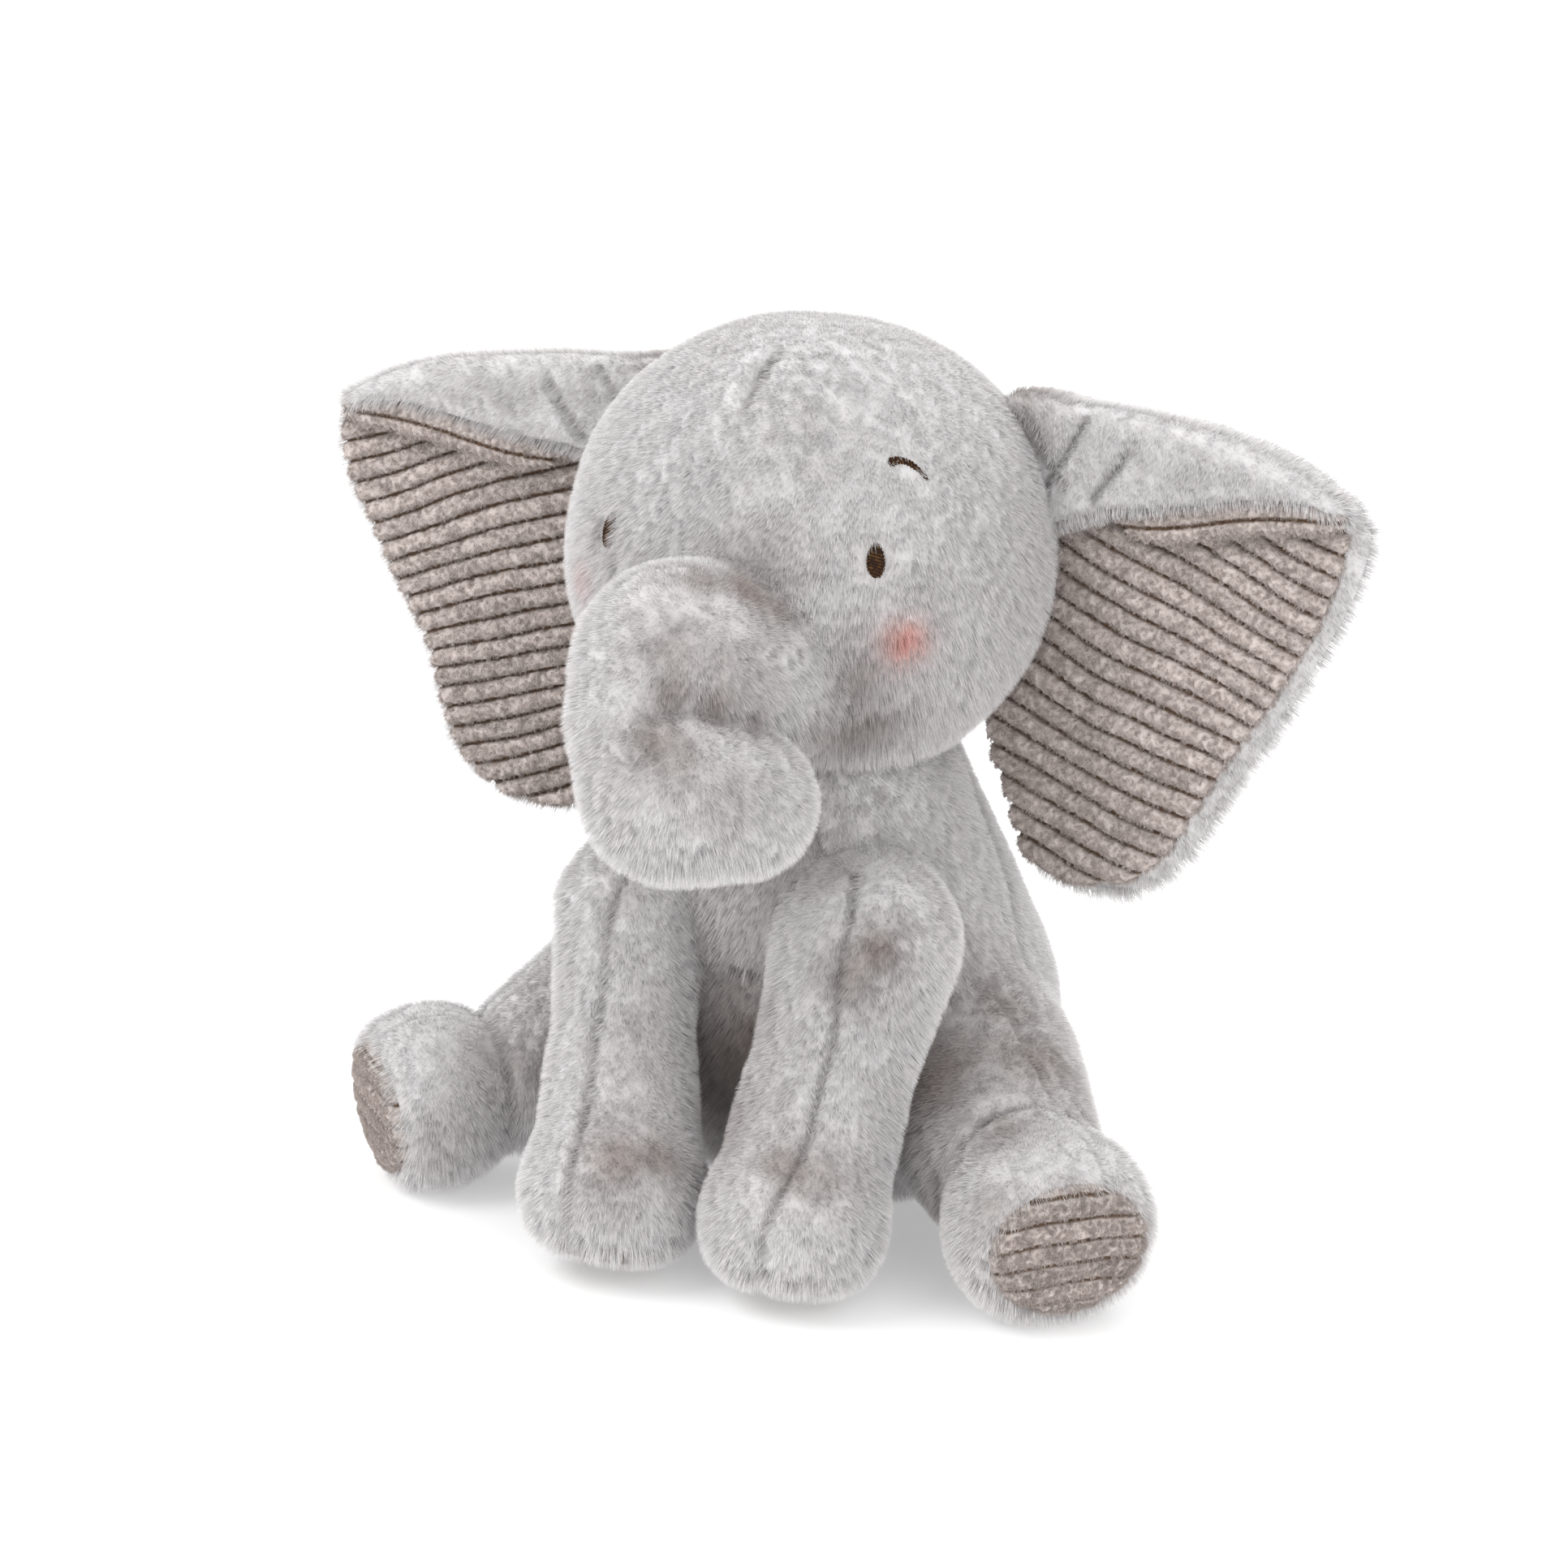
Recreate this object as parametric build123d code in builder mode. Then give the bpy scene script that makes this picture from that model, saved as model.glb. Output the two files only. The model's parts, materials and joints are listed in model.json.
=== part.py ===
from build123d import *
import math
import os

# A seated plush elephant, facing -Y, with its left side towards +X and the floor at z = 0.
# Millimetres. The origin is the middle of the footprint, on the floor.

# ---- driving dimensions -------------------------------------------------------------------
pile = 5.0                      # plush cover: woven backing and pile together
limb_pile = 4.0                 # the same plush, drawn tighter on the limbs and the trunk
gap = 0.45                      # room between bodies that turn against each other
slack = 0.4                     # room between a cover and the stuffing inside it

belly_centre, belly_r = (0, 26, 47), 54.0
neck_centre, neck_r = (0, 3, 108), 42.0
neck_wad_centre, neck_wad_r = (0, 3, 124), 19.5
bag_centre, bag_r, bag_height = (0, 34, 7), 17.0, 14.0

chest_half_width, chest_bottom, chest_top = 9.0, 73.0, 126.0
belly_half_width, belly_back = 19.0, 56.0

head_centre, head_r = (0, 3, 180), 59.0
head_half_width = 62.5

trunk_root, trunk_root_r = (0, -44, 162), 26.0
trunk_knee, trunk_knee_r = (0, -75, 158), 25.5
trunk_fold, trunk_fold_r = (0, -78, 142), 23.0
trunk_tip, trunk_tip_r = (9, -56.5, 130), 17.5
trunk_down, trunk_up = 2.0, 12.0

shoulder, front_foot = (29, -25, 92), (26, -61, 22)
front_radii = (21.0, 19.6, 23.5)        # at the shoulder, the ankle and the foot
front_back = 5.0                        # degrees of room left behind the leg
shoulder_room = 1.4                     # more room round the shoulder, for the leg to swing forwards
hip, hind_foot = (42, 9, 40), (86, -42, 26)
hind_radii = (30.0, 22.5, 25.0)
hind_in, hind_out = 8.0, 15.0           # degrees of room left inside and outside the leg
ankle_share = 0.66                      # how far down the leg the ankle is
front_sole_reach, hind_sole_reach = 14.0, 13.0
sole_edge, sole_crown = 1.4, 4.5

eye_centre, eye_half_width, eye_half_height = (36.8, -44, 188), 2.3, 4.2
brow_centre, brow_r, brow_half_angle = (40.6, -30, 208), 6.0, 50.0
thread_low, thread_high = 0.1, 1.2      # how far embroidery stands out of the face

ear_origin = (50, 25, 180)
ear_out, ear_front = (0.986, -0.165, 0), (-0.163, -0.978, 0.129)
ear_hinge_dir = (0, 0.129, 0.992)
ear_back_t, ear_lining_t, ear_fold_t = 5.0, 3.0, 5.0
ear_rim = 6.5                           # plush that shows round the lining
ear_backward, ear_forward = 15.0, 20.0
ear_outline = [(-6, 34), (36, 39), (78, 32), (98, 16), (84, -28), (60, -70), (32, -88), (5, -78), (-8, -45)]
ear_fold_line = [(8, 5), (30, 12), (58, 17), (97, 23)]

tail_root, tail_root_r = (0, 83.6, 56), 5.0
tail_end, tail_end_r = (0, 96, 26), 4.5

far = 400.0                             # longer than the toy, for cutting halves away


# ---- shared shapes ------------------------------------------------------------------------
def axis_between(start, end):
    return Axis(start, Vector(*end) - Vector(*start))


def profile_plane(start, end):
    """A plane through the axis: its y runs from start to end, and its x is the radius."""
    along = (Vector(*end) - Vector(*start)).normalized()
    across = along.cross(Vector(0, 1, 0.2)).normalized()
    return Plane(origin=start, x_dir=across, z_dir=across.cross(along))


def capsule(start, start_r, end, end_r, grow=0.0):
    """Two balls of different size joined by the cone that touches both."""
    r1 = start_r + grow
    r2 = end_r + grow
    span = (Vector(*end) - Vector(*start)).length
    lean = math.degrees(math.asin((r1 - r2) / span))
    touch = Vector(math.cos(math.radians(lean)), math.sin(math.radians(lean)))
    with BuildPart() as body:
        with BuildSketch(profile_plane(start, end)):
            with BuildLine():
                CenterArc((0, 0), r1, -90, 90 + lean)
                Line((r1 * touch.X, r1 * touch.Y), (r2 * touch.X, span + r2 * touch.Y))
                CenterArc((0, span), r2, lean, 90 - lean)
                Line((0, span + r2), (0, -r1))
            make_face()
        revolve(axis=axis_between(start, end))
    return body.part


def limb(start, end, radii, grow=0.0):
    """A leg: a ball in its socket, a narrower ankle and a wider foot, round its own axis."""
    top_r, ankle_r, foot_r = (r + grow for r in radii)
    span = (Vector(*end) - Vector(*start)).length
    with BuildPart() as body:
        with BuildSketch(profile_plane(start, end)):
            with BuildLine():
                CenterArc((0, 0), top_r, -90, 90)
                Spline((top_r, 0), (ankle_r, ankle_share * span), (foot_r, span), tangents=((0, 1), (0, 1)))
                CenterArc((0, span), foot_r, 0, 90)
                Line((0, span + foot_r), (0, -top_r))
            make_face()
        revolve(axis=axis_between(start, end))
    return body.part


def torso_form(grow=0.0):
    """The pear of the torso, flat where it sits on the floor."""
    with BuildPart() as body:
        add(capsule(belly_centre, belly_r, neck_centre, neck_r, grow))
        split(bisect_by=Plane.XY.offset(-grow), keep=Keep.TOP)
    return body.part


def head_form(grow=0.0):
    """The head: a ball, a little wider than it is deep."""
    x, y, z = head_centre
    half_spread = head_half_width - head_r
    return capsule((x - half_spread, y, z), head_r, (x + half_spread, y, z), head_r, grow)


def trunk_form(grow=0.0):
    """The trunk: out of the face, over, and curled back under itself."""
    with BuildPart() as body:
        add(capsule(trunk_root, trunk_root_r, trunk_knee, trunk_knee_r, grow))
        add(capsule(trunk_fold, trunk_fold_r, trunk_tip, trunk_tip_r, grow))
    return body.part


def ball(centre, radius):
    with BuildPart() as body:
        with Locations(centre):
            Sphere(radius)
    return body.part


def turning_room(start, start_r, end, end_r, direction, low, high, grow):
    """The room a limb sweeps as it turns about its ball: one cone round the middle of its travel."""
    middle = (low + high) / 2
    reach = Vector(*end) - Vector(*start)
    spread = reach.length * math.sin(math.radians((high - low) / 2))
    far_end = Vector(*start) + reach.rotate(Axis((0, 0, 0), direction), middle)
    return capsule(start, start_r, tuple(far_end), end_r + spread, grow)


def leg_room(grow):
    """What the torso leaves free for the four legs, grown by a wall or a gap."""
    along_front = Vector(*shoulder) + (Vector(*front_foot) - Vector(*shoulder)) * 0.6
    along_hind = Vector(*hip) + (Vector(*hind_foot) - Vector(*hip)) * 0.6
    front_r = front_radii[0] + shoulder_room
    front = turning_room(shoulder, front_r, tuple(along_front), front_r, (-1, 0, 0), -front_back, 0, grow)
    hind = turning_room(hip, hind_radii[0], tuple(along_hind), hind_radii[2],
                        (0, 0, 1), -hind_in, hind_out, grow)
    return [front, hind, front.mirror(Plane.YZ), hind.mirror(Plane.YZ)]


def trunk_room(grow):
    """What the head leaves free for the trunk."""
    return turning_room(trunk_root, trunk_root_r, trunk_knee, trunk_knee_r,
                        (-1, 0, 0), -trunk_down, trunk_up, grow)


def ear_shape(inset=0.0):
    """The outline of an ear in its own plane, drawn in by the rim of plush round the lining."""
    corners = [Vector(*point) for point in ear_outline]
    inner = [corners[0] - Vector(0, inset)]
    for before, corner, after in zip(corners, corners[1:], corners[2:]):
        along = (after - before).normalized()
        inner.append(corner + Vector(along.Y, -along.X) * inset)
    inner.append(corners[-1] + Vector(0, inset))
    with BuildSketch() as face:
        with BuildLine():
            Spline(*inner)
            Line(inner[-1], inner[0])
        make_face()
    return face.sketch


def ear_fold_shape():
    """The strip of the ear's top that is folded over the front."""
    with BuildSketch() as face:
        add(ear_shape())
        with BuildLine():
            Polyline((-far, 0), *ear_fold_line, (far, 30), (far, -far), (-far, -far), close=True)
        make_face(mode=Mode.SUBTRACT)
    return face.sketch


def sole_plane(foot, start, reach):
    """The flat end of a foot, square to the leg."""
    along = (Vector(*foot) - Vector(*start)).normalized()
    return Plane(origin=Vector(*foot) + along * reach, z_dir=along)


def save(part, label):
    part.label = label
    export_step(part, f"parts/{label}.step")


os.makedirs("parts", exist_ok=True)

# ---- torso: covers, stuffing and the bag of pellets ----------------------------------------
with BuildPart() as torso_shell:
    add(torso_form())
    for room in leg_room(gap):
        add(room, mode=Mode.SUBTRACT)
    add(ball(tail_root, tail_root_r + gap), mode=Mode.SUBTRACT)

with BuildPart() as torso_hollow:
    add(torso_form(-pile))
    for room in leg_room(gap + pile):
        add(room, mode=Mode.SUBTRACT)
    add(ball(tail_root, tail_root_r + gap + pile), mode=Mode.SUBTRACT)

with BuildPart() as torso_skin:
    add(torso_shell.part)
    add(torso_hollow.part, mode=Mode.SUBTRACT)

with BuildPart() as chest_region:
    with BuildSketch(Plane.XY.offset(chest_bottom)):
        with Locations((0, neck_centre[1] - far / 2)):
            Rectangle(2 * chest_half_width, far)
    extrude(amount=chest_top - chest_bottom)

with BuildPart() as belly_region:
    with BuildSketch(Plane.XY.offset(-1)):
        with Locations((0, belly_back - far / 2)):
            Rectangle(2 * belly_half_width, far)
    extrude(amount=chest_bottom + 1)

with BuildPart() as chest_gusset:
    add(torso_skin.part)
    add(chest_region.part, mode=Mode.INTERSECT)
save(chest_gusset.part, "chest_gusset")

with BuildPart() as belly_gusset:
    add(torso_skin.part)
    add(belly_region.part, mode=Mode.INTERSECT)
save(belly_gusset.part, "belly_gusset")

with BuildPart() as torso_side_left:
    add(torso_skin.part)
    add(chest_region.part, mode=Mode.SUBTRACT)
    add(belly_region.part, mode=Mode.SUBTRACT)
    split(bisect_by=Plane.YZ, keep=Keep.TOP)

with BuildPart() as pellet_bag:
    with BuildSketch(Plane(origin=bag_centre)):
        Circle(bag_r)
    extrude(amount=bag_height)
    fillet(pellet_bag.edges(), 6)
save(pellet_bag.part, "pellet_bag")

with BuildPart() as bag_room:
    with BuildSketch(Plane(origin=bag_centre)):
        Circle(bag_r + slack)
    extrude(amount=bag_height + slack)
    extrude(bag_room.faces().sort_by(Axis.Z)[0], amount=bag_centre[2])

with BuildPart() as torso_stuffing:
    add(torso_form(-pile - slack))
    for room in leg_room(gap + pile + slack):
        add(room, mode=Mode.SUBTRACT)
    add(ball(tail_root, tail_root_r + gap + pile + slack), mode=Mode.SUBTRACT)
    add(ball(neck_wad_centre, neck_wad_r + gap), mode=Mode.SUBTRACT)
    add(bag_room.part, mode=Mode.SUBTRACT)
save(torso_stuffing.part, "torso_stuffing")

with BuildPart() as neck_stuffing:
    add(ball(neck_wad_centre, neck_wad_r))
save(neck_stuffing.part, "neck_stuffing")

# ---- head ----------------------------------------------------------------------------------
with BuildPart() as head_shell:
    add(head_form())
    add(ball(neck_centre, neck_r + gap), mode=Mode.SUBTRACT)
    add(trunk_room(gap), mode=Mode.SUBTRACT)

with BuildPart() as head_hollow:
    add(head_form(-pile))
    add(ball(neck_centre, neck_r + gap + pile), mode=Mode.SUBTRACT)
    add(trunk_room(gap + limb_pile), mode=Mode.SUBTRACT)

with BuildPart() as head_stuffing:
    add(head_form(-pile - slack))
    add(ball(neck_centre, neck_r + gap + pile + slack), mode=Mode.SUBTRACT)
    add(trunk_room(gap + limb_pile + slack), mode=Mode.SUBTRACT)
save(head_stuffing.part, "head_stuffing")

for keep, label in ((Keep.TOP, "head_side_left"), (Keep.BOTTOM, "head_side_right")):
    with BuildPart() as head_side:
        add(head_shell.part)
        add(head_hollow.part, mode=Mode.SUBTRACT)
        split(bisect_by=Plane.YZ, keep=keep)
    save(head_side.part, label)

# Embroidery: patches of thread that follow the face.
with BuildPart() as thread_layer:
    add(head_form(thread_high))
    add(head_form(thread_low), mode=Mode.SUBTRACT)

with BuildPart() as eye_left:
    with BuildSketch(Plane(origin=eye_centre, x_dir=(1, 0.9, 0), z_dir=(0.6, -0.8, 0.1))):
        Ellipse(eye_half_width, eye_half_height)
    extrude(amount=8, both=True)
    add(thread_layer.part, mode=Mode.INTERSECT)

with BuildPart() as brow_left:
    with BuildSketch(Plane(origin=brow_centre, x_dir=(1, 1.1, 0), z_dir=(0.6, -0.6, 0.5))):
        with BuildLine():
            upper = CenterArc((0, -brow_r), brow_r + 0.6, 90 - brow_half_angle, 2 * brow_half_angle)
            lower = CenterArc((0, -brow_r), brow_r - 0.6, 90 - brow_half_angle, 2 * brow_half_angle)
            Line(upper @ 0, lower @ 0)
            Line(upper @ 1, lower @ 1)
        make_face()
    extrude(amount=8, both=True)
    add(thread_layer.part, mode=Mode.INTERSECT)

# ---- trunk ---------------------------------------------------------------------------------
with BuildPart() as trunk_cover:
    add(trunk_form())
    add(trunk_form(-limb_pile), mode=Mode.SUBTRACT)
save(trunk_cover.part, "trunk_cover")

with BuildPart() as trunk_stuffing:
    add(trunk_form(-limb_pile - slack))
save(trunk_stuffing.part, "trunk_stuffing")

# ---- ears ----------------------------------------------------------------------------------
ear_plane = Plane(origin=ear_origin, x_dir=ear_out, z_dir=ear_front)
ear_hinge = Axis(ear_origin, ear_hinge_dir)
ear_head_room = [head_form(2 * gap).rotate(ear_hinge, angle) for angle in (ear_forward, 0, -ear_backward)]

with BuildPart() as ear_back_left:
    with BuildSketch(ear_plane.offset(-ear_back_t)):
        add(ear_shape())
    extrude(amount=ear_back_t)
    with BuildSketch(ear_plane.offset(-1)):
        add(ear_fold_shape())
        add(ear_shape(ear_rim - 0.5), mode=Mode.SUBTRACT)
    extrude(amount=ear_lining_t + 3)
    with BuildSketch(ear_plane.offset(ear_lining_t + 0.15)):
        add(ear_fold_shape())
    extrude(amount=ear_fold_t)
    for room in ear_head_room:
        add(room, mode=Mode.SUBTRACT)

with BuildPart() as ear_lining_left:
    with BuildSketch(ear_plane.offset(0.05)):
        add(ear_shape(ear_rim))
    extrude(amount=ear_lining_t)
    for room in ear_head_room:
        add(room, mode=Mode.SUBTRACT)

# ---- legs ----------------------------------------------------------------------------------
def leg_pieces(start, foot, radii, reach):
    """Cover, stuffing and sole of one leg on the left side."""
    end = sole_plane(foot, start, reach)
    sole_r = math.sqrt(radii[2] ** 2 - reach ** 2) - 0.3
    rise = sole_crown - sole_edge
    dome_r = (sole_r ** 2 + rise ** 2) / (2 * rise)
    half_turn = math.asin(sole_r / dome_r) / 2
    middle = (dome_r * math.sin(half_turn), sole_crown - dome_r * (1 - math.cos(half_turn)))
    with BuildPart() as cover:
        add(limb(start, foot, radii))
        add(limb(start, foot, radii, -limb_pile), mode=Mode.SUBTRACT)
        split(bisect_by=end, keep=Keep.BOTTOM)
    with BuildPart() as stuffing:
        add(limb(start, foot, radii, -limb_pile - slack))
        split(bisect_by=end.offset(-slack), keep=Keep.BOTTOM)
    with BuildPart() as sole:
        with BuildSketch(Plane(origin=end.origin, x_dir=end.x_dir, z_dir=-end.y_dir)):
            with BuildLine():
                Polyline((0, sole_crown), (0, 0), (sole_r, 0), (sole_r, sole_edge))
                ThreePointArc((sole_r, sole_edge), middle, (0, sole_crown))
            make_face()
        revolve(axis=Axis(end.origin, end.z_dir))
    return {"cover": cover.part, "stuffing": stuffing.part, "sole": sole.part}


left_pieces = {
    "torso_side": torso_side_left.part,
    "eye": eye_left.part,
    "brow": brow_left.part,
    "ear_back": ear_back_left.part,
    "ear_lining": ear_lining_left.part,
}
for kind, piece in leg_pieces(shoulder, front_foot, front_radii, front_sole_reach).items():
    left_pieces["front_leg_" + kind] = piece
for kind, piece in leg_pieces(hip, hind_foot, hind_radii, hind_sole_reach).items():
    left_pieces["hind_leg_" + kind] = piece

for kind, piece in left_pieces.items():
    with BuildPart() as left_piece:
        add(piece)
    save(left_piece.part, kind + "_left")
    with BuildPart() as right_piece:
        mirror(piece, about=Plane.YZ)
    save(right_piece.part, kind + "_right")

# ---- tail ----------------------------------------------------------------------------------
with BuildPart() as tail:
    add(capsule(tail_root, tail_root_r, tail_end, tail_end_r))
save(tail.part, "tail")
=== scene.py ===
import itertools
import json
import math

import bpy
import numpy as np
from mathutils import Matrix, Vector


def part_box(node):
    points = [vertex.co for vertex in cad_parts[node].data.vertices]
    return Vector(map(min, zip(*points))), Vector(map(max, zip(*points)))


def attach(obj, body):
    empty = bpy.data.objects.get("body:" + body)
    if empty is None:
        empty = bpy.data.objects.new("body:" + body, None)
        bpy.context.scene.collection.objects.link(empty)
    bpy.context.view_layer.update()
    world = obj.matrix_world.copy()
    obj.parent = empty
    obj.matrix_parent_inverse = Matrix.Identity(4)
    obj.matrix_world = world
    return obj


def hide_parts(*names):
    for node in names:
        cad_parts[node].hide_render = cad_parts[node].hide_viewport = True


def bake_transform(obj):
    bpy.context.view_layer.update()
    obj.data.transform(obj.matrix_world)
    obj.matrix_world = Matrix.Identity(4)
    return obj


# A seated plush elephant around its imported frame. Shapes are fields in millimetres, negative
# inside, in the row frame: it faces -Y, its left side is towards +X, the floor is z = 0.

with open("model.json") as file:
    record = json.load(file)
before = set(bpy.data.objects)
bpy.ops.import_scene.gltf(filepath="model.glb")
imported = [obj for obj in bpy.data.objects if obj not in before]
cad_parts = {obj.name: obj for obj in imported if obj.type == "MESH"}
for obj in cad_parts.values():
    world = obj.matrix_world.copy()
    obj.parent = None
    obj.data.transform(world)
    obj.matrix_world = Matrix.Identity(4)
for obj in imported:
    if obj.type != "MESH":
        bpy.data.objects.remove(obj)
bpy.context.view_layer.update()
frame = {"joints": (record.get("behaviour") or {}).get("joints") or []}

MM = 0.001
SIDES = {"left": 1, "right": -1}

# ---- places, from the frame ----------------------------------------------------------------
PIVOT = {j["name"]: np.array(j["pos_m"]) / MM for j in frame["joints"]}


def corner(node, which):
    """The low (0) or high (1) corner of a CAD node, in millimetres."""
    return np.array(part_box(node)[which]) / MM


NAP = 1.9                               # how far the cloth lies below the tips of its pile
OFF_SEAM = 9.0                          # a distance from a seam at which the seam no longer shows
head_r = 59.0
head_half_width = corner("head_side_left", 1)[0]
head_centre = np.array([0, corner("head_side_left", 1)[1] - head_r, corner("head_side_left", 1)[2] - head_r])
neck = PIVOT["head_turn"]
neck_r = 42.0
belly = np.array([0, neck[1] + 23, 47.0])
belly_r = 56.0
eye_at = (corner("eye_left", 0) + corner("eye_left", 1)) / 2
brow_at = (corner("brow_left", 0) + corner("brow_left", 1)) / 2

# ---- camera --------------------------------------------------------------------------------
camera_azimuth, camera_elevation, camera_distance = 26.5, 18.0, 1.1
camera_target = Vector((-0.0246, 0.0356, 0.1014))
camera_lens = 93.17

# ---- fields --------------------------------------------------------------------------------
def vec(*numbers):
    return np.array(numbers, float)


def length(v):
    return np.sqrt((v * v).sum(-1))


def ball(p, centre, radius):
    return length(p - np.asarray(centre)) - radius


def cone(p, a, b, r1, r2):
    """Two balls and the cone that touches both, as an exact distance."""
    a, b = np.asarray(a, float), np.asarray(b, float)
    ba = b - a
    l2 = ba @ ba
    rr = r1 - r2
    a2 = l2 - rr * rr
    pa = p - a
    y = pa @ ba
    z = y - l2
    x2 = ((pa * l2 - y[..., None] * ba) ** 2).sum(-1)
    y2, z2 = y * y * l2, z * z * l2
    k = np.sign(rr) * rr * rr * x2
    side = (np.sqrt(x2 * a2 / l2) + y * rr) / l2 - r1
    far_end = np.sqrt(x2 + z2) / l2 - r2
    near_end = np.sqrt(x2 + y2) / l2 - r1
    return np.where(np.sign(z) * a2 * z2 > k, far_end, np.where(np.sign(y) * a2 * y2 < k, near_end, side))


def join(a, b, k):
    """Union with a fillet about k wide."""
    h = np.maximum(k - np.abs(a - b), 0) / k
    return np.minimum(a, b) - h * h * k / 4


def cut(a, b, k):
    """What is in both, with a rounded edge about k wide."""
    return -join(-a, -b, k)


def fade(x, low, high):
    """0 below low, 1 above high, smooth between them."""
    t = np.clip((x - low) / (high - low), 0, 1)
    return t * t * (3 - 2 * t)


def path_distance(p, points):
    """Distance to a line of straight runs through points."""
    points = np.array(points, float)
    best = np.full(len(p), 1e9)
    for a, b in zip(points, points[1:]):
        t = np.clip((p - a) @ (b - a) / ((b - a) @ (b - a)), 0, 1)
        best = np.minimum(best, length(p - a - t[:, None] * (b - a)))
    return best


def bump(distance, width):
    return np.exp(-(distance / width) ** 2)


def noise(p, size, seed=0):
    """Smooth noise from -1 to 1 with bumps about size apart; size may be three numbers."""
    q = p / size + 100.0
    cell = np.floor(q).astype(np.int64)
    f = q - cell
    f = f * f * (3 - 2 * f)
    total = np.zeros(len(p))
    for step in itertools.product((0, 1), repeat=3):
        k = cell + step
        h = (k[:, 0] * 73856093) ^ (k[:, 1] * 19349663) ^ (k[:, 2] * 83492791) ^ (seed * 2654435761)
        h = (h ^ (h >> 13)) * 1274126177 & 0xFFFFFFFF
        h = (h ^ (h >> 16)) & 0xFFFF
        total += (h / 32767.5 - 1) * np.prod(np.where(step, f, 1 - f), axis=1)
    return total


# ---- meshes from fields --------------------------------------------------------------------
def surface_net(field, low, high, step):
    """Points and quads over the surface where field is zero."""
    low, high = np.asarray(low, float), np.asarray(high, float)
    n = np.ceil((high - low) / step).astype(int) + 1
    axes = [low[i] + step * np.arange(n[i]) for i in range(3)]
    value = np.empty(n)
    for i, x in enumerate(axes[0]):
        y, z = np.meshgrid(axes[1], axes[2], indexing="ij")
        layer = np.stack([np.full(y.shape, x), y, z], -1).reshape(-1, 3)
        value[i] = field(layer).reshape(n[1], n[2])
    total = np.zeros(tuple(n - 1) + (3,))
    count = np.zeros(tuple(n - 1), int)
    crossings = []
    for axis in range(3):
        a = np.take(value, range(n[axis] - 1), axis)
        b = np.take(value, range(1, n[axis]), axis)
        crosses = (a < 0) != (b < 0)
        share = np.where(crosses, a / np.where(crosses, a - b, 1), 0)
        where = np.stack(np.meshgrid(*[np.arange(s) for s in a.shape], indexing="ij"), -1).astype(float)
        where[..., axis] += share
        others = [i for i in range(3) if i != axis]
        for dp, dq in itertools.product((0, 1), repeat=2):
            window = [slice(None)] * 3
            window[others[0]] = slice(dp, dp + n[others[0]] - 1)
            window[others[1]] = slice(dq, dq + n[others[1]] - 1)
            window = tuple(window)
            total += where[window] * crosses[window][..., None]
            count += crosses[window]
        crossings.append((axis, others, np.argwhere(crosses), a))
    index = -np.ones(count.shape, int)
    used = count > 0
    index[used] = np.arange(used.sum())
    points = low + step * total[used] / count[used][:, None]
    quads = []
    for axis, (p, q), at, a in crossings:
        inner = (at[:, p] > 0) & (at[:, q] > 0) & (at[:, p] < n[p] - 1) & (at[:, q] < n[q] - 1)
        at = at[inner]
        ring = []
        for dp, dq in ((-1, -1), (0, -1), (0, 0), (-1, 0)):
            c = at.copy()
            c[:, p] += dp
            c[:, q] += dq
            ring.append(index[tuple(c.T)])
        ring = np.stack(ring, 1)
        outward = (a[tuple(at.T)] < 0) ^ (axis == 1)
        ring[~outward] = ring[~outward][:, ::-1]
        quads.append(ring)
    return points, np.concatenate(quads)


def slope(field, p, reach=0.4):
    """Unit normals of a field."""
    g = np.stack([field(p + reach * e) - field(p - reach * e) for e in np.eye(3)], -1)
    size = np.maximum(length(g), 1e-6)
    return g / size[:, None], size / (2 * reach)


def settle(field, p, rounds=2):
    """Moves points on to the surface."""
    for _ in range(rounds):
        n, steep = slope(field, p)
        p = p - n * (np.clip(field(p) / np.maximum(steep, 0.3), -1, 1))[:, None]
    return p


def shape(field, low, high, step=0.8):
    """Points, quads and outward normals of a field's surface."""
    p, quads = surface_net(field, low, high, step)
    p = settle(field, p)
    return p, quads, slope(field, p)[0]


def make_mesh(name, points, quads, material, tint):
    """A mesh object in metres. tint is a linear colour for each point."""
    mesh = bpy.data.meshes.new(name)
    mesh.vertices.add(len(points))
    mesh.vertices.foreach_set("co", (points * MM).astype(np.float32).ravel())
    mesh.loops.add(quads.size)
    mesh.loops.foreach_set("vertex_index", quads.astype(np.int32).ravel())
    mesh.polygons.add(len(quads))
    mesh.polygons.foreach_set("loop_start", np.arange(0, quads.size, quads.shape[1], dtype=np.int32))
    mesh.update(calc_edges=True)
    mesh.polygons.foreach_set("use_smooth", np.ones(len(quads), bool))
    rest = mesh.attributes.new("rest", "FLOAT_VECTOR", "POINT")
    rest.data.foreach_set("vector", (points * MM).astype(np.float32).ravel())
    colour = mesh.color_attributes.new("tint", "BYTE_COLOR", "CORNER")
    rgba = np.ones((quads.size, 4), np.float32)
    rgba[:, :3] = np.clip(tint, 0, 1)[quads.ravel()]
    colour.data.foreach_set("color", rgba.ravel())
    mesh.color_attributes.active_color = colour
    mesh.materials.append(material)
    obj = bpy.data.objects.new(name, mesh)
    bpy.context.scene.collection.objects.link(obj)
    return obj


CHILDREN, PILE_THICK, PILE_CLUMP, PILE_SPREAD = 5, 0.08, 0.05, 1.5     # fibres to a tuft, and their form
FIBRE_BEND, FIBRE_RANDOM, FIBRE_STRAY, FIBRE_WAVE = 4, 0.10, 0.05, 0.25


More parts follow.
